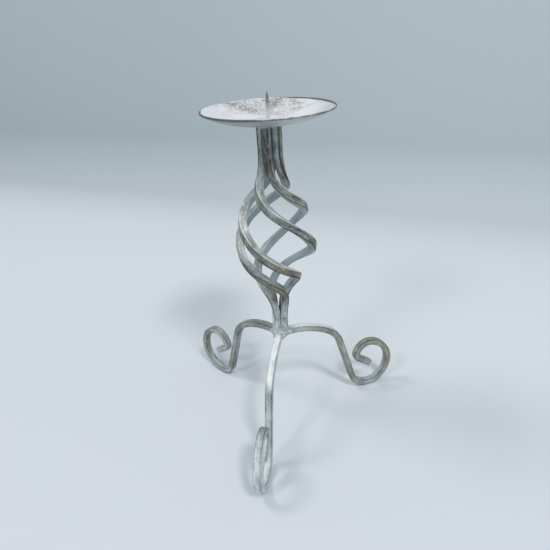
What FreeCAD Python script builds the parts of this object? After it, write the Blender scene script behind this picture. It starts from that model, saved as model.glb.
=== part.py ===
import FreeCAD, Part
import math
import os

# Candle holder of welded square bar: a shallow drip pan with a pricket on a stem of four bars
# twisted into an open basket, carried by three arched legs that end in scrolls.
# Millimetres, +Z up. The origin is on the stem's axis at the floor, and one leg points along -Y.

# Square bar that the stem and the legs are cut from
bar = 6.35
bar_edge = 0.9

# Leg, followed from the hub outwards: level at the hub, arch, shoulder, straight shin and a scroll
# of heel, toe and curl that ends in a tight tuck and a straight tail
leg_count = 3
hub_run = 10.5
arch_radius = 73.0
arch_turn = 29.8
shoulder_radius = 30.5
shoulder_turn = 43.5
shin_length = 49.2
heel_radius = 20.0
heel_turn = 119.0
toe_radius = 27.3
toe_turn = 112.0
curl_radius = 14.2
curl_turn = 105.0
tuck_radius = 5.0
tuck_turn = 62.0
tail_length = 16.5

# Stem, from the hub upwards: straight foot, twisted basket, straight neck under the pan
stem_count = 4
foot_run = 17.0
foot_gap = 0.2
basket_length = 157.5
belly_radius = 33.0
twist_turn = 346.0
belly_pace = 0.78
neck_sharpness = 4.0
foot_sharpness = 1.9
foot_roll = 45.0
roll_start = 0.68
neck_run = 13.6
neck_gap = 0.15
neck_angle = -101.0
basket_stations = 32

# Drip pan, a dished sheet with a flat floor and a rounded rim
pan_radius = 50.8
pan_depth = 9.3
pan_sheet = 1.5
floor_radius = 14.0

# Pricket, the spike that holds the candle, standing in a hole in the pan's floor
spike_radius = 1.5
spike_length = 20.1
spike_point = 6.0
spike_tip_radius = 0.2
spike_foot_radius = 0.9
spike_clearance = 0.1

# Weld beads
foot_weld_reach = 3.6
foot_weld_rise = 4.0
foot_weld_drop = 4.6
neck_weld_reach = 2.8
neck_weld_drop = 3.2
weld_skin = 0.4
bead_hollow = 0.3

# Heights and radii that follow from the sizes above
shin_slope = math.radians(arch_turn + shoulder_turn)
arch_slope = math.radians(arch_turn)
arch_drop = arch_radius * (1 - math.cos(arch_slope))
shoulder_drop = shoulder_radius * (math.cos(arch_slope) - math.cos(shin_slope))
shin_drop = shin_length * math.sin(shin_slope)
heel_drop = heel_radius * (1 - math.cos(shin_slope))
hub_height = bar / 2 + arch_drop + shoulder_drop + shin_drop + heel_drop
hub_top = hub_height + bar / 2
basket_base = hub_top + foot_run
basket_top = basket_base + basket_length
pan_base = basket_top + neck_run
floor_top = pan_base + pan_sheet
foot_radius = (bar + foot_gap) / math.sqrt(2)
neck_radius = bar + neck_gap
up = FreeCAD.Vector(0, 0, 1)
axis_foot = FreeCAD.Vector(0, 0, 0)


def square_wire(centre, side_way, face_way):
    """Outline of the bar, a square with rounded corners, across two unit directions."""
    half = bar / 2
    flat = half - bar_edge
    bulge = flat + bar_edge * math.sqrt(0.5)
    edges = []
    for quarter in range(4):
        turn = quarter * math.pi / 2
        along = side_way * math.cos(turn) + face_way * math.sin(turn)
        across = face_way * math.cos(turn) - side_way * math.sin(turn)
        start = centre + along * half - across * flat
        end = centre + along * half + across * flat
        corner = centre + along * bulge + across * bulge
        following = centre + along * flat + across * half
        edges.append(Part.LineSegment(start, end).toShape())
        edges.append(Part.Arc(end, corner, following).toShape())
    return Part.Wire(edges)


def turned(shape, degrees):
    """Copy of a shape, turned about the stem's axis."""
    copy = shape.copy()
    copy.rotate(axis_foot, up, degrees)
    return copy


def revolved(edges):
    """Solid of revolution about the stem's axis from a closed outline in the XZ plane."""
    return Part.Face(Part.Wire(edges)).revolve(axis_foot, up, 360)


def spot(radius, height):
    """Point in the XZ plane."""
    return FreeCAD.Vector(radius, 0, height)


def straight(start, end):
    """Straight edge between two points in the XZ plane, each a radius and a height."""
    return Part.LineSegment(spot(*start), spot(*end)).toShape()


def arc(start, middle, end):
    """Round edge through three points in the XZ plane."""
    return Part.Arc(spot(*start), spot(*middle), spot(*end)).toShape()


def leg_path():
    """Centre line of a leg in the XZ plane: straight runs and tangent bends, (length, turn) each."""
    bends = [
        (bar + hub_run, 0),
        (arch_radius, -arch_turn),
        (shoulder_radius, -shoulder_turn),
        (shin_length, 0),
        (heel_radius, heel_turn),
        (toe_radius, toe_turn),
        (curl_radius, curl_turn),
        (tuck_radius, tuck_turn),
        (tail_length, 0),
    ]
    place = spot(-bar, hub_height)
    heading = 0.0
    edges = []
    for size, turn in bends:
        ahead = FreeCAD.Vector(math.cos(heading), 0, math.sin(heading))
        if turn == 0:
            end = place + ahead * size
            edges.append(Part.LineSegment(place, end).toShape())
        else:
            side = math.copysign(1, turn)
            centre = place + FreeCAD.Vector(-math.sin(heading), 0, math.cos(heading)) * size * side
            sweep = math.radians(turn)
            spoke = place - centre
            middle = centre + turned_in_plane(spoke, sweep / 2)
            end = centre + turned_in_plane(spoke, sweep)
            edges.append(Part.Arc(place, middle, end).toShape())
            heading += sweep
        place = end
    return Part.Wire(edges)


def turned_in_plane(arrow, angle):
    """Arrow in the XZ plane, turned from +X towards +Z."""
    across = arrow.x * math.cos(angle) - arrow.z * math.sin(angle)
    rise = arrow.x * math.sin(angle) + arrow.z * math.cos(angle)
    return FreeCAD.Vector(across, 0, rise)


def hub_wedge():
    """Sector that one leg fills at the hub, so that the legs meet in mitres on the axis."""
    reach = 2 * (arch_radius + toe_radius + heel_radius + shin_length)
    spread = math.radians(180 / leg_count)
    apex = up * -bar
    corners = [apex]
    for side in (-1, 1):
        corners.append(FreeCAD.Vector(reach * math.cos(spread), side * reach * math.sin(spread), -bar))
    corners.append(apex)
    return Part.Face(Part.makePolygon(corners)).extrude(up * 2 * hub_top)


def leg():
    """One leg along +X: square bar bent along its path, mitred at the hub."""
    path = leg_path()
    outline = square_wire(spot(-bar, hub_height), FreeCAD.Vector(0, 1, 0), up)
    swept = path.makePipeShell([outline], True, False)
    return swept.common(hub_wedge()).Solids[0]


def twist_share(share):
    """Share of the twist that is done at a share of the basket: eased at both ends, slower at the belly."""
    once = belly_pace / 2
    twice = 1 - once
    wave = 2 * math.pi * share
    return share - once * math.sin(wave) / (2 * math.pi) - twice * math.sin(2 * wave) / (4 * math.pi)


def stem_spot(share):
    """Centre of the first bar at a share of the basket, from its top down."""
    end_radius = neck_radius + (foot_radius - neck_radius) * share
    sharpness = neck_sharpness + (foot_sharpness - neck_sharpness) * share
    swell = math.sin(math.pi * share) ** sharpness
    radius = end_radius + (belly_radius - end_radius) * swell
    angle = math.radians(neck_angle + twist_turn * twist_share(share))
    height = basket_top - basket_length * share
    return FreeCAD.Vector(radius * math.cos(angle), radius * math.sin(angle), height)


def roll_at(share):
    """Turn of the bar about its own length: its faces square to the radius, then closed in at the foot."""
    done = min(max((share - roll_start) / (1 - roll_start), 0.0), 1.0)
    return math.radians(foot_roll) * done * done * (3 - 2 * done)


def stem_outline(share):
    """Outline of the first bar, square to its centre line, at a share of the basket."""
    step = 1e-4
    centre = stem_spot(share)
    if 0 < share < 1:
        along = (stem_spot(share + step) - stem_spot(share - step)).normalize()
    else:
        along = up * -1
    outward = FreeCAD.Vector(centre.x, centre.y, 0)
    outward = (outward - along * outward.dot(along)).normalize()
    sideways = along.cross(outward)
    roll = roll_at(share)
    face_way = outward * math.cos(roll) + sideways * math.sin(roll)
    side_way = sideways * math.cos(roll) - outward * math.sin(roll)
    return square_wire(centre, side_way, face_way)


def neck_piece():
    """Straight end of the first bar, up to the pan."""
    return Part.Face(stem_outline(0)).extrude(up * neck_run)


def foot_piece():
    """Straight end of the first bar, down to the hub."""
    return Part.Face(stem_outline(1)).extrude(up * -foot_run)


def stem_bar():
    """First bar of the stem: straight neck, twisted bow of the basket and straight foot in one."""
    outlines = [stem_outline(station / basket_stations) for station in range(basket_stations + 1)]
    bow = Part.makeLoft(outlines, True, False)
    return bow.fuse([neck_piece(), foot_piece()]).removeSplitter().Solids[0]


def drip_pan():
    """Dished sheet: flat floor with a hole for the spike, one round wall tangent to it, rounded rim."""
    hole = spike_radius + spike_clearance
    wall_run = pan_radius - floor_radius
    wall_radius = (wall_run ** 2 + pan_depth ** 2) / (2 * pan_depth)
    rim_slope = math.asin(wall_run / wall_radius)
    centre_height = pan_base + wall_radius
    inner = wall_radius - pan_sheet
    between = (wall_radius + inner) / 2
    lip = pan_sheet / 2

    def on_wall(radius, slope):
        return (floor_radius + radius * math.sin(slope), centre_height - radius * math.cos(slope))

    lip_middle = on_wall(between, rim_slope)
    lip_end = (lip_middle[0] + lip * math.cos(rim_slope), lip_middle[1] + lip * math.sin(rim_slope))
    return revolved([
        straight((hole, pan_base), (floor_radius, pan_base)),
        arc((floor_radius, pan_base), on_wall(wall_radius, rim_slope / 2), on_wall(wall_radius, rim_slope)),
        arc(on_wall(wall_radius, rim_slope), lip_end, on_wall(inner, rim_slope)),
        arc(on_wall(inner, rim_slope), on_wall(inner, rim_slope / 2), (floor_radius, floor_top)),
        straight((floor_radius, floor_top), (hole, floor_top)),
        straight((hole, floor_top), (hole, pan_base)),
    ])


def pricket():
    """Round spike: bevelled foot in the pan's hole, straight shank above the floor, drawn point."""
    shoulder = floor_top + spike_length - spike_point
    tip = floor_top + spike_length
    return revolved([
        straight((0, pan_base), (spike_foot_radius, pan_base)),
        straight((spike_foot_radius, pan_base), (spike_radius, floor_top)),
        straight((spike_radius, floor_top), (spike_radius, shoulder)),
        straight((spike_radius, shoulder), (spike_tip_radius, tip)),
        straight((spike_tip_radius, tip), (0, tip)),
        straight((0, tip), (0, pan_base)),
    ])


def hollow_bead(inner, outer, seat, crest):
    """Weld bead round the axis with a hollow face, from its seat to its crest."""
    reach = outer - inner
    rise = crest - seat
    hollow = (inner + reach * bead_hollow, seat + rise * bead_hollow)
    return [
        arc((outer, seat), hollow, (inner, crest)),
        straight((inner, crest), (0, crest)),
    ]


def pan_weld(necks):
    """Bead between the four bars' necks and the underside of the pan."""
    inner = math.hypot(neck_radius + bar / 2, bar / 2) + weld_skin
    outer = inner + neck_weld_reach
    crest = pan_base - neck_weld_drop
    bead = hollow_bead(inner, outer, pan_base, crest)
    bead.append(straight((0, crest), (0, pan_base)))
    bead.append(straight((0, pan_base), (outer, pan_base)))
    core = 2 * neck_radius - bar
    corner = FreeCAD.Vector(-core / 2, -core / 2, crest)
    hollow = turned(Part.makeBox(core, core, neck_weld_drop, corner), neck_angle)
    return revolved(bead).cut([hollow] + necks).Solids[0]


def hub_weld(feet, legs):
    """Bead where the stem stands on the legs, filling the corners between them."""
    inner = bar + foot_gap / 2 + weld_skin
    outer = inner + foot_weld_reach
    crest = hub_top + foot_weld_rise
    base = hub_top - foot_weld_drop
    bead = hollow_bead(inner, outer, hub_top, crest)
    bead.append(straight((0, crest), (0, base)))
    bead.append(straight((0, base), (inner, base)))
    bead.append(straight((inner, base), (outer, hub_top)))
    return revolved(bead).cut(feet + legs).Solids[0]


def build():
    """All pieces by node name."""
    first_leg = leg()
    first_bar = stem_bar()
    leg_turns = [360 / leg_count * place - 90 for place in range(leg_count)]
    bar_turns = [360 / stem_count * place for place in range(stem_count)]
    legs = [turned(first_leg, turn) for turn in leg_turns]
    pieces = {"drip_pan": drip_pan(), "pricket": pricket()}
    pieces["pan_weld"] = pan_weld([turned(neck_piece(), turn) for turn in bar_turns])
    pieces["hub_weld"] = hub_weld([turned(foot_piece(), turn) for turn in bar_turns], legs)
    for place, turn in enumerate(bar_turns):
        pieces["stem_bar_%d" % (place + 1)] = turned(first_bar, turn)
    for place, piece in enumerate(legs):
        pieces["leg_%d" % (place + 1)] = piece
    return pieces


os.makedirs("parts", exist_ok=True)
for name, shape in build().items():
    box = shape.BoundBox
    print(name, shape.ShapeType, "valid", shape.isValid(), "volume %.1f" % shape.Volume,
          "z %.2f to %.2f" % (box.ZMin, box.ZMax), "faces", len(shape.Faces))
    shape.exportStep("parts/%s.step" % name)
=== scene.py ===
import bpy
import math
from mathutils import Matrix, Vector


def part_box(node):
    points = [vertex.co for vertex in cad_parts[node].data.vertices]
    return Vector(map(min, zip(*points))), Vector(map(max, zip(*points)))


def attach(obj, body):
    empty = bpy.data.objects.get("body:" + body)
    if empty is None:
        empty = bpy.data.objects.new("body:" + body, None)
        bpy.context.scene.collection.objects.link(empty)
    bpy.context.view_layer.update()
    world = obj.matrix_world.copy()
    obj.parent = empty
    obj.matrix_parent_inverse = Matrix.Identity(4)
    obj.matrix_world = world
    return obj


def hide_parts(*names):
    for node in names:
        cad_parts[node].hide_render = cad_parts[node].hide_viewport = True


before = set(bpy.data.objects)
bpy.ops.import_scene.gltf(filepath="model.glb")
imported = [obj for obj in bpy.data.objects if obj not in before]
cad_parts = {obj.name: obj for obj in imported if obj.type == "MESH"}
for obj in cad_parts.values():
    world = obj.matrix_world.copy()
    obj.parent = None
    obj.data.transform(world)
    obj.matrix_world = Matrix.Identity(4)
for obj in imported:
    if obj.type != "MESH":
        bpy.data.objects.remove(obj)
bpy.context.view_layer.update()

# Legs: three square steel bars, arched and rolled into scrolls, that meet in mitres under the stem.
# White paint was brushed thinly along the dark bars and rubbed back to grey-green and brown: the front leg
# is palest, the tops of the front and right arches stay white with a painted highlight over them, and edges,
# back heels and scrolls are worn.


class Paint:
    """Worn paint, mixed from patterns: most methods add one node and give back its output."""

    bare_shine = 0.4
    brush_depth = 0.0002
    bump_strength = 0.6
    cool_stops = (
        (0.0, (0.045, 0.045, 0.047, 1)),
        (0.25, (0.140, 0.156, 0.156, 1)),
        (0.5, (0.270, 0.312, 0.314, 1)),
        (0.75, (0.470, 0.525, 0.550, 1)),
        (1.0, (0.740, 0.770, 0.790, 1)),
    )
    brown_stops = (
        (0.0, (0.050, 0.042, 0.036, 1)),
        (0.25, (0.158, 0.134, 0.080, 1)),
        (0.5, (0.275, 0.258, 0.180, 1)),
        (0.75, (0.480, 0.485, 0.430, 1)),
        (1.0, (0.740, 0.745, 0.710, 1)),
    )

    def __init__(self, name):
        self.finish = bpy.data.materials.new(name)
        self.finish.use_nodes = True
        self.tree = self.finish.node_tree

    def add(self, kind, inputs, output=0, **settings):
        """New node with its inputs set to values or joined to other outputs."""
        node = self.tree.nodes.new(kind)
        for field, value in settings.items():
            setattr(node, field, value)
        for socket, source in inputs.items():
            if isinstance(source, bpy.types.NodeSocket):
                self.tree.links.new(source, node.inputs[socket])
            else:
                node.inputs[socket].default_value = source
        return node.outputs[output]

    def spot(self):
        """Point on the piece, in metres."""
        return self.add("ShaderNodeTexCoord", {}, "Object")

    def normal(self):
        """Way that the surface faces."""
        return self.add("ShaderNodeNewGeometry", {}, "Normal")

    def split(self, arrow):
        """The three numbers of an arrow."""
        return self.add("ShaderNodeSeparateXYZ", {0: arrow}).node.outputs

    def join(self, x, y, z):
        """Arrow of three numbers."""
        return self.add("ShaderNodeCombineXYZ", {0: x, 1: y, 2: z})

    def sums(self, operation, first, second=0.0, third=0.0):
        """One sum on numbers."""
        return self.add("ShaderNodeMath", {0: first, 1: second, 2: third}, operation=operation)

    def times(self, first, second):
        """Product of two patterns, which shows where both of them do."""
        return self.sums("MULTIPLY", first, second)

    def minus(self, first, second):
        """Difference of two patterns."""
        return self.sums("SUBTRACT", first, second)

    def over(self, first, second):
        """One pattern divided by another."""
        return self.sums("DIVIDE", first, second)

    def arrows(self, operation, first, second=(0, 0, 0)):
        """One sum on arrows."""
        output = "Value" if operation in ("DOT_PRODUCT", "LENGTH") else "Vector"
        return self.add("ShaderNodeVectorMath", {0: first, 1: second}, output, operation=operation)

    def heap(self, start, *shares):
        """Weighted sum of patterns, each given with its weight."""
        for pattern, weight in shares:
            start = self.sums("MULTIPLY_ADD", pattern, weight, start)
        return start

    def grain(self, place, per_metre, detail=4.0, rough=0.55, warp=0.0):
        """Cloudy pattern from 0 to 1, with so many clouds to the metre."""
        shape = {"Scale": per_metre, "Detail": detail, "Roughness": rough, "Distortion": warp}
        return self.add("ShaderNodeTexNoise", {"Vector": place, **shape})

    def fade(self, value, start, end):
        """Soft step from 0 to 1 between two values of a pattern."""
        inputs = {"Value": value, "From Min": start, "From Max": end}
        return self.add("ShaderNodeMapRange", inputs, interpolation_type="SMOOTHSTEP")

    def band(self, value, start, full, ebb, end):
        """Soft band that rises from start to full and falls from ebb to end."""
        return self.times(self.fade(value, start, full), self.fade(value, end, ebb))

    def span(self, value, low, high):
        """Pattern from 0 to 1, spread between two other values."""
        return self.add("ShaderNodeMapRange", {"Value": value, "To Min": low, "To Max": high})

    def tint(self, share, under, over):
        """Colour that goes from one to another as the share goes from 0 to 1."""
        return self.add("ShaderNodeMix", {0: share, 6: under, 7: over}, 2, data_type="RGBA")

    def ramp(self, value, stops):
        """Colour that passes through several, each given with the value where it stands."""
        colour = self.add("ShaderNodeValToRGB", {0: value})
        marks = colour.node.color_ramp.elements
        for number, (place, shade) in enumerate(stops):
            mark = marks[number] if number < 2 else marks.new(place)
            mark.position = place
            mark.color = shade
        return colour

    def worn_white(self, tone, warm):
        """White brushed thinly over steel: bare metal at tone 0, thin grey-green at 0.5, white at 1."""
        return self.tint(warm, self.ramp(tone, self.cool_stops), self.ramp(tone, self.brown_stops))

    def bare(self, tone):
        """Bare metal, where the paint is worn through."""
        return self.fade(tone, 0.30, 0.10)

    def surface(self, colour, roughness, metal, relief, depth):
        """Joins the patterns to the shader: colour, gloss, bare metal and the relief of the brushwork."""
        shader = self.tree.nodes["Principled BSDF"]
        bump_inputs = {"Strength": self.bump_strength, "Distance": depth, "Height": relief}
        bump = self.add("ShaderNodeBump", bump_inputs)
        self.tree.links.new(colour, shader.inputs["Base Color"])
        self.tree.links.new(roughness, shader.inputs["Roughness"])
        self.tree.links.new(metal, shader.inputs["Metallic"])
        self.tree.links.new(bump, shader.inputs["Normal"])

    def brushed(self, colour, tone, flecks, streaks):
        """Surface of a brushed bar: flecks and streaks in relief, with bare metal sunk between them."""
        bare = self.bare(tone)
        gloss = self.span(flecks, 0.28, 0.55)
        relief = self.heap(flecks, (streaks, 1.0), (bare, -0.5))
        self.surface(colour, gloss, self.times(bare, self.bare_shine), relief, self.brush_depth)

    def dress(self, piece):
        """Gives a piece this paint."""
        piece.data.materials.clear()
        piece.data.materials.append(self.finish)


def bar_run(paint, point, start, bends, room):
    """Distance run along a bent bar and offset from its middle line, for a point in the bends' plane."""
    run = offset = 0.0
    place = Vector((start[0], start[1], 0))
    heading = done = 0.0
    for size, turn in bends:
        ahead = Vector((math.cos(heading), math.sin(heading), 0))
        left = Vector((-math.sin(heading), math.cos(heading), 0))
        if turn == 0:
            length = size
            from_place = paint.arrows("SUBTRACT", point, place + ahead * length / 2)
            along = paint.arrows("DOT_PRODUCT", from_place, ahead)
            aside = paint.arrows("DOT_PRODUCT", from_place, left)
            place = place + ahead * length
        else:
            bend = math.radians(turn)
            side = math.copysign(1, turn)
            length = size * abs(bend)
            centre = place + left * size * side
            spoke = place - centre
            middle = math.atan2(spoke.y, spoke.x) + bend / 2
            from_centre = paint.arrows("SUBTRACT", point, centre)
            across, rise, _ = paint.split(from_centre)
            swing = paint.minus(paint.sums("ARCTAN2", rise, across), middle)
            along = paint.times(paint.sums("WRAP", swing, math.pi, -math.pi), size * side)
            aside = paint.heap(side * size, (paint.arrows("LENGTH", from_centre), -side))
            place = centre + Matrix.Rotation(bend, 3, "Z") @ spoke
            heading += bend
        on_stretch = paint.sums("COMPARE", along, 0.0, length / 2)
        here = paint.times(on_stretch, paint.sums("COMPARE", aside, 0.0, room))
        run = paint.heap(run, (here, paint.sums("ADD", along, done + length / 2)))
        offset = paint.heap(offset, (here, aside))
        done += length
    return run, offset


# A bend is a radius in metres and a turn in degrees; a straight stretch is a length and no turn.
bar = 0.00635
hub_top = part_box("leg_1")[1].z
hub_flat = 0.0105
hub_stretch = (bar + hub_flat, 0)
arch_bend = (0.073, -29.8)
shoulder_bend = (0.0305, -43.5)
shin_stretch = (0.0492, 0)
heel_bend = (0.020, 119)
scroll_bend = (0.0273, 112)
coil_bend = (0.0142, 105)
tip_bend = (0.005, 62)
tip_stretch = (0.0165, 0)
leg_bends = [
    hub_stretch, arch_bend, shoulder_bend, shin_stretch,
    heel_bend, scroll_bend, coil_bend, tip_bend, tip_stretch,
]
leg_start = (-bar, hub_top - bar / 2)
bar_room = 0.75 * bar
leg_paint = Paint("leg_worn_white")
leg_spot = leg_paint.spot()
leg_x, leg_y, leg_z = leg_paint.split(leg_spot)
leg_reach = leg_paint.arrows("LENGTH", leg_paint.join(leg_x, leg_y, 0.0))
leg_angle = leg_paint.sums("ADD", leg_paint.sums("ARCTAN2", leg_y, leg_x), math.pi / 2)
leg_turn = leg_paint.sums("WRAP", leg_angle, math.pi / 3, -math.pi / 3)
leg_side = leg_paint.times(leg_reach, leg_paint.sums("SINE", leg_turn))
leg_out = leg_paint.times(leg_reach, leg_paint.sums("COSINE", leg_turn))
leg_number = leg_paint.minus(leg_angle, leg_turn)
leg_plane = leg_paint.join(leg_out, leg_z, 0.0)
leg_run, leg_off = bar_run(leg_paint, leg_plane, leg_start, leg_bends, bar_room)

# Brushwork: streaks to the metre along and across a bar, and a shift from one bar to the next.
streaks_along = 95.0
streaks_across = 560.0
next_bar_shift = 7.0
chips_to_streak = 2.1
leg_drawn = leg_paint.join(
    leg_paint.heap(0.0, (leg_run, streaks_along), (leg_number, next_bar_shift)),
    leg_paint.times(leg_off, streaks_across),
    leg_paint.times(leg_side, streaks_across),
)
leg_streaks = leg_paint.grain(leg_drawn, 1.0, detail=4.0, rough=0.6)
leg_clouds = leg_paint.grain(leg_spot, 58.0, detail=4.0, warp=0.3)
leg_flecks = leg_paint.grain(leg_spot, 420.0, detail=5.0, rough=0.7)
leg_chips = leg_paint.fade(leg_paint.grain(leg_drawn, chips_to_streak, detail=5.0, rough=0.7), 0.56, 0.70)
leg_brown = leg_paint.fade(leg_paint.grain(leg_spot, 34.0, detail=3.0), 0.42, 0.60)

# Stretches of a leg, by the distance run along it, and the three legs, by where they point.
leg_arch = leg_paint.fade(leg_run, 0.094, 0.074)
leg_knee = leg_paint.band(leg_run, 0.066, 0.074, 0.086, 0.096)
leg_heel = leg_paint.band(leg_run, 0.106, 0.118, 0.128, 0.140)
leg_rise = leg_paint.band(leg_run, 0.186, 0.204, 0.218, 0.230)
leg_crown = leg_paint.band(leg_run, 0.190, 0.222, 0.240, 0.256)
leg_roll = leg_paint.band(leg_run, 0.218, 0.230, 0.240, 0.252)
leg_coil = leg_paint.fade(leg_run, 0.216, 0.236)
leg_low = leg_paint.fade(leg_z, 0.028, 0.008)
leg_near_hub = leg_paint.fade(leg_reach, 0.052, 0.014)
leg_front = leg_paint.fade(leg_y, -0.0065, -0.015)
leg_right = leg_paint.fade(leg_x, 0.002, 0.016)
leg_left = leg_paint.fade(leg_x, -0.002, -0.016)

# Wear: where a bar's edges, tops and stretches are paler or more worn than the rest; the arch tops also carry
# a painted highlight.
leg_rim = leg_paint.sums("MINIMUM", leg_paint.sums("ABSOLUTE", leg_off), leg_paint.sums("ABSOLUTE", leg_side))
leg_edge = leg_paint.fade(leg_rim, 0.0019, 0.0027)
leg_middle = leg_paint.fade(leg_rim, 0.0014, 0.0003)
leg_top = leg_paint.fade(leg_paint.split(leg_paint.normal())[2], 0.35, 0.80)
# Tops of the front and right arches: paint kept white, with a painted highlight.
leg_arch_top_paint_and_highlight = leg_paint.times(leg_arch, leg_top)
leg_right_arch_paint_and_highlight = leg_paint.times(leg_right, leg_arch_top_paint_and_highlight)
leg_front_arch_paint_and_highlight = leg_paint.times(leg_front, leg_arch_top_paint_and_highlight)
leg_front_knee = leg_paint.times(leg_front, leg_knee)
leg_front_rise = leg_paint.times(leg_front, leg_rise)
leg_front_crown = leg_paint.times(leg_front, leg_roll)
leg_back_heel = leg_paint.times(leg_heel, leg_paint.minus(1.0, leg_front))
leg_left_coil = leg_paint.times(leg_left, leg_coil)
leg_left_root = leg_paint.times(leg_left, leg_near_hub)
leg_crown_top = leg_paint.times(leg_crown, leg_top)
leg_worn_edge = leg_paint.times(leg_edge, leg_paint.heap(1.0, (leg_front, 0.2)))
leg_tone = leg_paint.heap(
    -0.53, (leg_streaks, 0.85), (leg_clouds, 0.55), (leg_flecks, 0.55), (leg_chips, -0.14),
    (leg_front, 0.27), (leg_front_arch_paint_and_highlight, 0.24), (leg_front_knee, -0.17),
    (leg_near_hub, 0.14), (leg_right, 0.03), (leg_right_arch_paint_and_highlight, 0.42), (leg_low, 0.06),
    (leg_middle, 0.04), (leg_worn_edge, -0.18), (leg_crown_top, -0.12), (leg_front_crown, -0.22),
    (leg_back_heel, -0.10), (leg_front_rise, 0.12), (leg_left_coil, 0.20), (leg_left_root, -0.14),
)
leg_warm = leg_paint.heap(
    0.0, (leg_brown, 0.50), (leg_crown, 0.25), (leg_right, 0.12), (leg_right_arch_paint_and_highlight, -0.6),
    (leg_low, -0.25), (leg_front, -0.9), (leg_back_heel, 0.35), (leg_left_coil, -0.3),
)
leg_paint.brushed(leg_paint.worn_white(leg_tone, leg_warm), leg_tone, leg_flecks, leg_streaks)
for number in (1, 2, 3):
    leg_paint.dress(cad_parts["leg_%d" % number])

# Hub weld: the bead that joins the stem's foot to the legs and fills the corners between them.
# Overlapping drops of filler, melted into one another, smoothed over and painted in white.


def weld_bead(name, drops, voxel, rounds):
    """Bead of overlapping drops, each a place and a radius in metres, melted into one smooth skin."""
    ball = {"segments": 12, "ring_count": 8}
    bpy.ops.object.select_all(action="DESELECT")
    place, size = drops[0]
    bpy.ops.mesh.primitive_uv_sphere_add(radius=size, location=place, **ball)
    bead = bpy.context.object
    bead.name = name
    bpy.ops.object.transform_apply(location=True, rotation=True, scale=True)
    bpy.ops.object.mode_set(mode="EDIT")
    for place, size in drops[1:]:
        bpy.ops.mesh.primitive_uv_sphere_add(radius=size, location=place, **ball)
    bpy.ops.object.mode_set(mode="OBJECT")
    melt = bead.modifiers.new("melt", "REMESH")
    melt.mode = "VOXEL"
    melt.voxel_size = voxel
    bpy.ops.object.modifier_apply(modifier="melt")
    settle = bead.modifiers.new("settle", "SMOOTH")
    settle.factor = 0.5
    settle.iterations = rounds
    bpy.ops.object.modifier_apply(modifier="settle")
    bpy.ops.object.shade_smooth()
    return bead


def level_way(turn):
    """Level direction at an angle from +X, in radians."""
    return Vector((math.cos(turn), math.sin(turn), 0))


def at_height(place, height):
    """The same place, raised to a height above the floor."""
    return Vector((place.x, place.y, height))


# Round the foot: a rim of drops on each side, a seam up the middle of it, and a filled corner.
foot_turn = math.radians(20.0)
foot_half = 0.00645
rim_count = 10
rim_inset = 0.0004
rim_depth = 0.0005
rim_drop = 0.0013
rim_ripple = 0.0001
rim_wave = 1.7
seam_count = 16
seam_inset = 0.0012
seam_lean = 0.00004
seam_rise = 0.0006
seam_drop = 0.0013
corner_count = 4
corner_start = 0.0040
corner_step = 0.0010
corner_depth = 0.0022
corner_rise = 0.0003
corner_drop = 0.0026
corner_taper = 0.0002
hub_drops = []
for foot_side in range(4):
    out_way = level_way(foot_turn + foot_side * math.pi / 2)
    side_way = level_way(foot_turn + (foot_side + 1) * math.pi / 2)
    corner_way = (out_way + side_way).normalized()
    for step in range(rim_count):
        along_side = foot_half * (2 * (step + 0.5) / rim_count - 1)
        rim_place = out_way * (foot_half - rim_inset) + side_way * along_side
        rim_size = rim_drop + rim_ripple * math.cos(rim_wave * step + foot_side)
        hub_drops.append((at_height(rim_place, hub_top - rim_depth), rim_size))
    for step in range(seam_count):
        seam_place = out_way * (foot_half - seam_inset - seam_lean * step)
        hub_drops.append((at_height(seam_place, hub_top + seam_rise * step), seam_drop))
    for step in range(corner_count):
        corner_place = corner_way * (corner_start + corner_step * step)
        corner_height = hub_top - corner_depth + corner_rise * step
        hub_drops.append((at_height(corner_place, corner_height), corner_drop - corner_taper * step))

# Between the legs: a web of drops, hollow towards the outside, from one leg to the next.
web_count = 9
web_spread = 10
web_reach = 0.0080
web_flare = 1.2
web_drop = 0.0029
web_taper = 0.0004
for number in range(3):
    web_middle = math.radians(-30 + 120 * number)
    for step in range(web_count):
        web_turn = math.radians(web_spread * (step - web_count // 2))
        web_size = web_drop - web_taper * abs(web_turn)
        web_edge = web_reach / math.cos(web_turn) ** web_flare
        web_place = level_way(web_middle + web_turn) * (web_edge - web_size)
        hub_drops.append((at_height(web_place, hub_top - bar / 2), web_size))
hub_voxel = 0.0003
hub_rounds = 12
hub_bead = weld_bead("hub_bead", hub_drops, hub_voxel, hub_rounds)
weld_paint = Paint("weld_white")
weld_spot = weld_paint.spot()
weld_flecks = weld_paint.grain(weld_spot, 620.0)
weld_clouds = weld_paint.grain(weld_spot, 130.0, detail=3.0)
weld_tone = weld_paint.heap(0.12, (weld_clouds, 0.75), (weld_flecks, 0.40))
weld_warm = weld_paint.fade(weld_clouds, 0.45, 0.15)
weld_gloss = weld_paint.span(weld_flecks, 0.30, 0.55)
weld_colour = weld_paint.worn_white(weld_tone, weld_warm)
weld_paint.surface(weld_colour, weld_gloss, weld_paint.bare(weld_tone), weld_flecks, Paint.brush_depth)
weld_paint.dress(hub_bead)
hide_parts("hub_weld")
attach(hub_bead, "root")

# Stem: four square steel bars, straight at the neck and foot, bowed out and twisted into a basket.
# The same brushed paint, rubbed to grey-green and brown in streaks along the outward faces and darkest at
# the neck; the inward faces keep a whole paint, painted a cooler, darker grey as painted shade, and
# near-black in the slit at the foot as painted shade; upper edges carry a painted highlight, lower edges
# painted shade.
foot_run = 0.017
basket_length = 0.1575
basket_top = hub_top + foot_run + basket_length
belly_radius = 0.033
neck_radius = 0.0065
foot_radius = 0.00463
neck_angle = math.radians(-101.0)
twist = math.radians(346.0)
neck_sharpness = 4.0
foot_sharpness = 1.9
slow_share = 0.39


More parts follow.
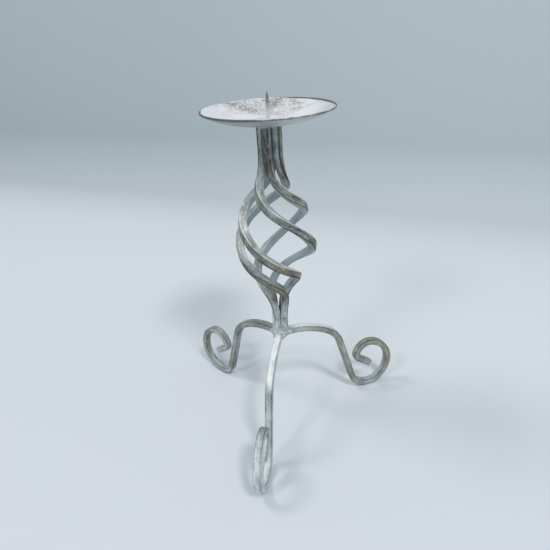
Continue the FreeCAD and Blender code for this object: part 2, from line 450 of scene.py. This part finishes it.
def bar_line(paint, share):
    """Radius and angle of the first bar's middle line at a share of the basket, from its top down."""
    half_wave = paint.sums("SINE", paint.times(share, math.pi))
    one_wave = paint.sums("SINE", paint.times(share, 2 * math.pi))
    two_waves = paint.sums("SINE", paint.times(share, 4 * math.pi))
    slow_wave = (one_wave, -slow_share / (2 * math.pi))
    quick_wave = (two_waves, (slow_share - 1) / (4 * math.pi))
    turned = paint.heap(share, slow_wave, quick_wave)
    sharpness = paint.heap(neck_sharpness, (share, foot_sharpness - neck_sharpness))
    swell = paint.sums("POWER", paint.sums("MAXIMUM", half_wave, 0.0), sharpness)
    end_radius = paint.heap(neck_radius, (share, foot_radius - neck_radius))
    bow = paint.times(paint.minus(belly_radius, end_radius), swell)
    return paint.sums("ADD", end_radius, bow), paint.heap(neck_angle, (turned, twist))


# Where a point lies in its bar's cross-section: outward from the middle line and to its upper side.
stem_paint = Paint("stem_worn_white")
stem_spot = stem_paint.spot()
stem_x, stem_y, stem_z = stem_paint.split(stem_spot)
basket_share = stem_paint.over(stem_paint.minus(basket_top, stem_z), basket_length)
basket_share = stem_paint.sums("MINIMUM", stem_paint.sums("MAXIMUM", basket_share, 0.0), 1.0)
share_step = 0.01
step_length = share_step * basket_length
bar_radius, bar_angle = bar_line(stem_paint, basket_share)
next_radius, next_angle = bar_line(stem_paint, stem_paint.sums("ADD", basket_share, share_step))
flare = stem_paint.over(stem_paint.minus(next_radius, bar_radius), step_length)
turning = stem_paint.over(stem_paint.minus(next_angle, bar_angle), step_length)
sideways = stem_paint.times(turning, bar_radius)
lean_squared = stem_paint.sums("MULTIPLY_ADD", sideways, sideways, 1.0)
lean = stem_paint.sums("SQRT", lean_squared)
steepness = stem_paint.sums("SQRT", stem_paint.sums("MULTIPLY_ADD", flare, flare, lean_squared))
stem_reach = stem_paint.arrows("LENGTH", stem_paint.join(stem_x, stem_y, 0.0))
past_bar = stem_paint.minus(stem_paint.sums("ARCTAN2", stem_y, stem_x), bar_angle)
off_angle = stem_paint.sums("WRAP", past_bar, math.pi / 4, -math.pi / 4)
stem_number = stem_paint.minus(past_bar, off_angle)
off_line = stem_paint.over(stem_paint.times(stem_reach, off_angle), lean)
outward = stem_paint.times(stem_paint.minus(stem_reach, bar_radius), lean)
slant = stem_paint.times(off_line, stem_paint.times(flare, sideways))
outward = stem_paint.over(stem_paint.minus(outward, slant), steepness)
foot_roll = math.radians(45.0)
roll = stem_paint.times(stem_paint.fade(basket_share, 0.68, 1.0), foot_roll)
roll_cosine = stem_paint.sums("COSINE", roll)
roll_sine = stem_paint.sums("SINE", roll)
to_face = stem_paint.minus(stem_paint.times(outward, roll_cosine), stem_paint.times(off_line, roll_sine))
to_upper = stem_paint.sums(
    "ADD", stem_paint.times(off_line, roll_cosine), stem_paint.times(outward, roll_sine))

# Brushwork, finer along these bars than along the legs.
stem_streaks_along = 123.5
rust_to_streak = 0.7
stem_drawn = stem_paint.join(
    stem_paint.heap(0.0, (stem_z, stem_streaks_along), (stem_number, next_bar_shift)),
    stem_paint.times(to_face, streaks_across),
    stem_paint.times(to_upper, streaks_across),
)
stem_streaks = stem_paint.grain(stem_drawn, 1.0, detail=4.0, rough=0.6)
stem_clouds = stem_paint.grain(stem_spot, 66.0, detail=4.0, warp=0.3)
stem_flecks = stem_paint.grain(stem_spot, 420.0, detail=5.0, rough=0.7)
stem_chips = stem_paint.fade(stem_paint.grain(stem_drawn, chips_to_streak, detail=5.0, rough=0.7), 0.54, 0.70)
stem_rust = stem_paint.fade(stem_paint.grain(stem_drawn, rust_to_streak, detail=4.0, rough=0.6), 0.42, 0.56)
stem_brown = stem_paint.fade(stem_paint.grain(stem_spot, 40.0, detail=3.0), 0.42, 0.60)

# Faces and edges of a bar, and stretches of the stem by their height.
stem_rim = stem_paint.sums(
    "MINIMUM", stem_paint.sums("ABSOLUTE", to_face), stem_paint.sums("ABSOLUTE", to_upper))
stem_edge = stem_paint.fade(stem_rim, 0.0019, 0.0026)
stem_normal = stem_paint.normal()
stem_right, _, stem_up = stem_paint.split(stem_normal)
neck_way = (math.cos(neck_angle), math.sin(neck_angle), 0.0)
to_front = stem_paint.fade(stem_paint.arrows("DOT_PRODUCT", stem_normal, neck_way), 0.6, 0.9)
at_foot = stem_paint.fade(stem_z, 0.138, 0.114)
# Height of the slit at the foot, where the inward faces are painted near-black as painted shade.
slit_shade_mask = stem_paint.fade(stem_z, 0.134, 0.123)
outer_face = stem_paint.times(stem_paint.fade(to_face, 0.0020, 0.0029), stem_paint.minus(1.0, at_foot))
inner_face = stem_paint.fade(to_face, -0.0018, -0.0028)
# Upper faces and edges: paler paint with a painted highlight; lower edges: painted shade.
upper_face_paint_and_highlight = stem_paint.times(stem_paint.fade(to_upper, 0.0020, 0.0029), stem_paint.fade(stem_up, 0.1, 0.4))
upper_edge_paint_and_highlight = stem_paint.times(stem_edge, stem_paint.fade(stem_up, 0.10, 0.35))
lower_edge_shade = stem_paint.times(stem_edge, stem_paint.fade(stem_up, 0.05, -0.15))
# The foot's right-facing side: painted shade.
foot_right_shade = stem_paint.times(at_foot, stem_paint.fade(stem_right, 0.1, 0.6))
at_neck = stem_paint.times(outer_face, stem_paint.fade(stem_z, 0.228, 0.256))
at_neck_front = stem_paint.times(at_neck, to_front)
at_belly = stem_paint.times(outer_face, stem_paint.fade(stem_z, 0.260, 0.236))
at_low_basket = stem_paint.times(outer_face, stem_paint.fade(stem_z, 0.205, 0.165))
low_rust = stem_paint.times(at_low_basket, stem_rust)
# Outward faces low on the left: darker.
low_left = stem_paint.times(stem_paint.fade(stem_x, -0.010, -0.022), stem_paint.fade(stem_z, 0.190, 0.176))
low_left_darkening = stem_paint.times(low_left, outer_face)
face_chips = stem_paint.times(stem_chips, outer_face)
stem_tone = stem_paint.heap(
    -0.88, (stem_streaks, 1.25), (stem_clouds, 0.85), (stem_flecks, 0.75), (face_chips, -0.22),
    (upper_face_paint_and_highlight, 0.06), (upper_edge_paint_and_highlight, 0.34), (lower_edge_shade, -0.32), (at_neck, -0.24), (at_neck_front, -0.16),
    (at_belly, -0.21), (at_low_basket, -0.03), (low_left_darkening, -0.26), (at_foot, 0.25), (foot_right_shade, -0.22),
)
stem_warm = stem_paint.heap(
    0.0, (stem_brown, 0.35), (low_rust, 0.9), (at_neck, 0.25), (inner_face, -1.0), (at_foot, -0.6))

# The paint inside the basket, which the brush reached but no hand has rubbed, painted a darker, cooler grey
# as painted shade and near-black in the slit at the foot as painted shade.
lining_shade_grey = (0.22, 0.278, 0.322, 1)
lining_shade_pale = (0.46, 0.532, 0.576, 1)
slit_painted_shade = (0.022, 0.026, 0.048, 1)
lining_shade_share = 0.85
stem_brushed = stem_paint.heap(-0.45, (stem_clouds, 0.7), (stem_streaks, 1.2))
stem_shaded_lining = stem_paint.tint(stem_brushed, lining_shade_grey, lining_shade_pale)
stem_shaded_lining = stem_paint.tint(slit_shade_mask, stem_shaded_lining, slit_painted_shade)
stem_colour = stem_paint.tint(
    stem_paint.times(inner_face, lining_shade_share), stem_paint.worn_white(stem_tone, stem_warm), stem_shaded_lining)
stem_paint.brushed(stem_colour, stem_tone, stem_flecks, stem_streaks)
for number in (1, 2, 3, 4):
    stem_paint.dress(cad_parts["stem_bar_%d" % number])

# Pan weld: the bead that holds the four necks to the underside of the pan, drop by drop round their
# outline, with the nooks between the bars filled, and painted with the rest.
pan_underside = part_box("drip_pan")[0].z
neck_reach = neck_radius + bar / 2
neck_count = 6
neck_outset = 0.0002
neck_depth = 0.0010
sag_ripple = 0.0003
sag_wave = 2.3
sag_shift = 1.3
neck_drop = 0.0019
size_ripple = 0.0002
size_wave = 1.9
nook_count = 3
nook_start = 0.0060
nook_step = 0.0013
nook_drop = 0.0024
nook_taper = 0.0002
pan_drops = []
for number in range(4):
    out_way = level_way(neck_angle + number * math.pi / 2)
    side_way = level_way(neck_angle + (number + 1) * math.pi / 2)
    nook_way = (out_way + side_way).normalized()
    for step in range(neck_count):
        along_bar = bar / 2 * (2 * (step + 0.5) / neck_count - 1)
        neck_place = out_way * (neck_reach + neck_outset) + side_way * along_bar
        neck_sag = sag_ripple * math.sin(sag_wave * step + sag_shift * number) - neck_depth
        neck_size = neck_drop + size_ripple * math.cos(size_wave * step + number)
        pan_drops.append((at_height(neck_place, pan_underside + neck_sag), neck_size))
    for step in range(nook_count):
        nook_place = nook_way * (nook_start + nook_step * step)
        pan_drops.append((at_height(nook_place, pan_underside - neck_depth), nook_drop - nook_taper * step))
pan_voxel = 0.00035
pan_rounds = 5
pan_bead = weld_bead("pan_bead", pan_drops, pan_voxel, pan_rounds)
weld_paint.dress(pan_bead)
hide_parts("pan_weld")
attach(pan_bead, "root")

# Drip pan: a shallow dish pressed from steel sheet, with a cut rim.
# White paint inside, speckled towards the back, dark bare metal along the rim, most at the front left and
# back right, and a thinner grey coat underneath, darkened as painted shade and lighter to the right as
# painted light.
pan_radius = 0.0508
pan_shade_white = (0.62, 0.655, 0.71, 1)
pan_clear_white = (0.78, 0.795, 0.83, 1)
pan_right_grey = (0.44, 0.475, 0.475, 1)
pan_dull_grey = (0.52, 0.535, 0.545, 1)
pan_speck_dark = (0.23, 0.23, 0.228, 1)
under_shade_dark = (0.14, 0.158, 0.160, 1)
under_lit_pale = (0.46, 0.50, 0.505, 1)
rim_dark = (0.120, 0.124, 0.112, 1)
pan_paint = Paint("pan_worn_white")
pan_spot = pan_paint.spot()
pan_x, pan_y, _ = pan_paint.split(pan_spot)
pan_reach = pan_paint.arrows("LENGTH", pan_paint.join(pan_x, pan_y, 0.0))
pan_clouds = pan_paint.grain(pan_spot, 55.0, detail=3.0, warp=0.4)
pan_flecks = pan_paint.grain(pan_spot, 800.0, detail=3.0, rough=0.75)
pan_stains = pan_paint.grain(pan_spot, 95.0, detail=4.0, rough=0.6)
pan_below = pan_paint.fade(pan_paint.split(pan_paint.normal())[2], 0.05, -0.25)
pan_back = pan_paint.fade(pan_paint.heap(pan_y, (pan_x, -0.2)), 0.004, 0.042)
pan_back_right = pan_paint.fade(pan_paint.heap(pan_y, (pan_x, 0.7)), 0.036, 0.052)
pan_far_right = pan_paint.times(pan_paint.fade(pan_x, 0.026, 0.047), 0.75)
worn_quarters = pan_paint.fade(pan_paint.times(pan_x, pan_y), -0.0007, 0.0009)
rim_line = pan_paint.heap(
    pan_reach, (pan_stains, 0.0020), (pan_flecks, 0.0010), (worn_quarters, 0.0014), (pan_back_right, 0.0010))
pan_rim = pan_paint.fade(rim_line, pan_radius + 0.0013, pan_radius + 0.0022)
pan_stipple = pan_paint.heap(0.09, (pan_clouds, 0.37), (pan_flecks, 0.62), (pan_back, 0.10))
pan_dull = pan_paint.fade(pan_stipple, 0.56, 0.76)
pan_speckle = pan_paint.fade(pan_stipple, 0.67, 0.77)
pan_colour = pan_paint.tint(pan_stains, pan_shade_white, pan_clear_white)
pan_colour = pan_paint.tint(pan_far_right, pan_colour, pan_right_grey)
pan_colour = pan_paint.tint(pan_dull, pan_colour, pan_dull_grey)
pan_colour = pan_paint.tint(pan_speckle, pan_colour, pan_speck_dark)
# Underneath: darker as painted shade over a thinner grey coat, and lighter towards the right as painted
# light.
under_stains_and_light = pan_paint.heap(-0.08, (pan_stains, 1.0), (pan_paint.fade(pan_x, 0.0, 0.035), 0.9))
pan_colour = pan_paint.tint(pan_below, pan_colour, pan_paint.tint(under_stains_and_light, under_shade_dark, under_lit_pale))
pan_colour = pan_paint.tint(pan_rim, pan_colour, rim_dark)
pan_gloss = pan_paint.span(pan_flecks, 0.30, 0.55)
pan_relief = pan_paint.heap(pan_flecks, (pan_speckle, -0.6))
pan_metal = pan_paint.times(pan_paint.sums("MAXIMUM", pan_rim, pan_speckle), Paint.bare_shine)
pan_paint.surface(pan_colour, pan_gloss, pan_metal, pan_relief, Paint.brush_depth)
pan_paint.dress(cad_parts["drip_pan"])

# Pricket: a round steel spike drawn to a point, standing in the pan's hole.
# The paint is nearly gone at the tip, where candles push it off, and thicker towards the pan.
spike_white = (0.56, 0.59, 0.62, 1)
spike_steel = (0.150, 0.155, 0.150, 1)
spike_depth = 0.00015
spike_paint = Paint("spike_worn_white")
spike_spot = spike_paint.spot()
spike_flecks = spike_paint.grain(spike_spot, 520.0)
spike_line = spike_paint.heap(spike_paint.split(spike_spot)[2], (spike_flecks, 0.006))
spike_bare = spike_paint.fade(spike_line, 0.291, 0.306)
spike_colour = spike_paint.tint(spike_bare, spike_white, spike_steel)
spike_gloss = spike_paint.span(spike_flecks, 0.30, 0.50)
spike_metal = spike_paint.times(spike_bare, Paint.bare_shine)
spike_paint.surface(spike_colour, spike_gloss, spike_metal, spike_flecks, spike_depth)
spike_paint.dress(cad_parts["pricket"])

# Floor and backdrop: one pale blue-grey paper sheet, flat under the object and turned up behind it.
# The floor is painted a little lighter behind the object as painted light and passes softly into the wall,
# which is painted darker as painted shade and lighter to the right as painted light.
floor_front = 1.2
floor_back = 0.58
floor_width = 4.4
sweep_radius = 0.11
sweep_steps = 12
wall_rise = 1.5
floor_near = (0.62, 0.66, 0.715, 1)
floor_far_lit = (0.67, 0.71, 0.755, 1)
wall_shade_left = (0.432, 0.496, 0.532, 1)
wall_shade_right = (0.478, 0.545, 0.578, 1)
sheet_roughness = 0.9
sheet_gloss = 0.1
back_way = Vector((0.19, 0.98, 0)).normalized()
right_way = back_way.cross(Vector((0, 0, 1)))
bpy.ops.object.select_all(action="DESELECT")
bpy.ops.mesh.primitive_plane_add(size=1.0)
sheet = bpy.context.object
sheet.name = "backdrop"
sheet.dimensions = (floor_width, floor_front + floor_back, 0)
sheet.rotation_euler = (0, 0, math.atan2(right_way.y, right_way.x))
sheet.location = back_way * (floor_back - floor_front) / 2
bpy.ops.object.transform_apply(location=True, rotation=True, scale=True)
bpy.ops.object.mode_set(mode="EDIT")
bpy.ops.mesh.select_all(action="DESELECT")
bpy.ops.object.mode_set(mode="OBJECT")
for sheet_corner in sheet.data.vertices:
    sheet_corner.select = sheet_corner.co.dot(back_way) > 0
for sheet_edge in sheet.data.edges:
    sheet_edge.select = all(sheet.data.vertices[end].select for end in sheet_edge.vertices)
bpy.ops.object.mode_set(mode="EDIT")
for step in range(sweep_steps):
    sweep_from = math.pi / 2 * step / sweep_steps
    sweep_to = math.pi / 2 * (step + 1) / sweep_steps
    sweep_move = back_way * sweep_radius * (math.sin(sweep_to) - math.sin(sweep_from))
    sweep_move.z = sweep_radius * (math.cos(sweep_from) - math.cos(sweep_to))
    bpy.ops.mesh.extrude_region_move(TRANSFORM_OT_translate={"value": sweep_move})
bpy.ops.mesh.extrude_region_move(TRANSFORM_OT_translate={"value": (0, 0, wall_rise)})
bpy.ops.object.mode_set(mode="OBJECT")
bpy.ops.object.shade_smooth()
sheet_paint = Paint("backdrop_sheet")
sheet_spot = sheet_paint.spot()
sheet_x, _, sheet_z = sheet_paint.split(sheet_spot)
sheet_run = sheet_paint.sums("ADD", sheet_z, sheet_paint.arrows("DOT_PRODUCT", sheet_spot, back_way))
wall_painted_shade = sheet_paint.tint(sheet_paint.fade(sheet_x, -0.50, 0.35), wall_shade_left, wall_shade_right)
floor_painted_light = sheet_paint.tint(sheet_paint.fade(sheet_run, -0.10, 0.25), floor_near, floor_far_lit)
sheet_colour = sheet_paint.tint(sheet_paint.fade(sheet_run, 0.36, 0.74), floor_painted_light, wall_painted_shade)
sheet_shader = sheet_paint.tree.nodes["Principled BSDF"]
sheet_paint.tree.links.new(sheet_colour, sheet_shader.inputs["Base Color"])
sheet_shader.inputs["Roughness"].default_value = sheet_roughness
sheet_shader.inputs["Specular IOR Level"].default_value = sheet_gloss
sheet_paint.dress(sheet)

# Light: three soft square lamps, high at the front right, front left and left, which cast the faint
# shadows on the floor, and an even pale sky that fills them in.
sky_colour = (0.90, 1.0, 1.02, 1)
sky_strength = 0.48
lamp_colour = (1.02, 0.96, 0.94)
lamp_target = Vector((0, 0, 0.12))
lamps = {
    "front_right_softbox": (Vector((0.96, -1.20, 2.24)), 0.42, 26.0),
    "front_left_softbox": (Vector((-0.85, -1.55, 1.91)), 0.42, 10.0),
    "left_softbox": (Vector((-1.33, -0.04, 2.21)), 0.60, 13.5),
}
world = bpy.data.worlds.new("studio")
bpy.context.scene.world = world
world.use_nodes = True
sky = world.node_tree.nodes["Background"]
sky.inputs["Color"].default_value = sky_colour
sky.inputs["Strength"].default_value = sky_strength
for lamp_name, (lamp_place, lamp_width, lamp_watts) in lamps.items():
    lamp_data = bpy.data.lights.new(lamp_name, "AREA")
    lamp_data.shape = "SQUARE"
    lamp_data.size = lamp_width
    lamp_data.energy = lamp_watts
    lamp_data.color = lamp_colour
    lamp = bpy.data.objects.new(lamp_name, lamp_data)
    bpy.context.scene.collection.objects.link(lamp)
    lamp.location = lamp_place
    lamp.rotation_euler = (lamp_target - lamp_place).to_track_quat("-Z", "Y").to_euler()

# Camera: where the photograph was taken from, in front and a little above the pan, looking down at the
# hub and rolled slightly to one side, for a square picture.
camera_place = Vector((0.08136, -0.36187, 0.34898))
view_way = Vector((-0.1989, 0.8611, -0.4680)).normalized()
camera_roll = math.radians(-3.515)
camera_data = bpy.data.cameras.new("camera")
camera_data.sensor_width = 36.0
camera_data.lens = 31.17
camera = bpy.data.objects.new("camera", camera_data)
bpy.context.scene.collection.objects.link(camera)
level_right = view_way.cross(Vector((0, 0, 1))).normalized()
level_up = level_right.cross(view_way)
camera_right = level_right * math.cos(camera_roll) + level_up * math.sin(camera_roll)
camera_up = level_up * math.cos(camera_roll) - level_right * math.sin(camera_roll)
camera_stand = Matrix((camera_right, camera_up, -view_way)).transposed().to_4x4()
camera_stand.translation = camera_place
camera.matrix_world = camera_stand
bpy.context.scene.camera = camera
bpy.context.scene.view_settings.view_transform = "Standard"
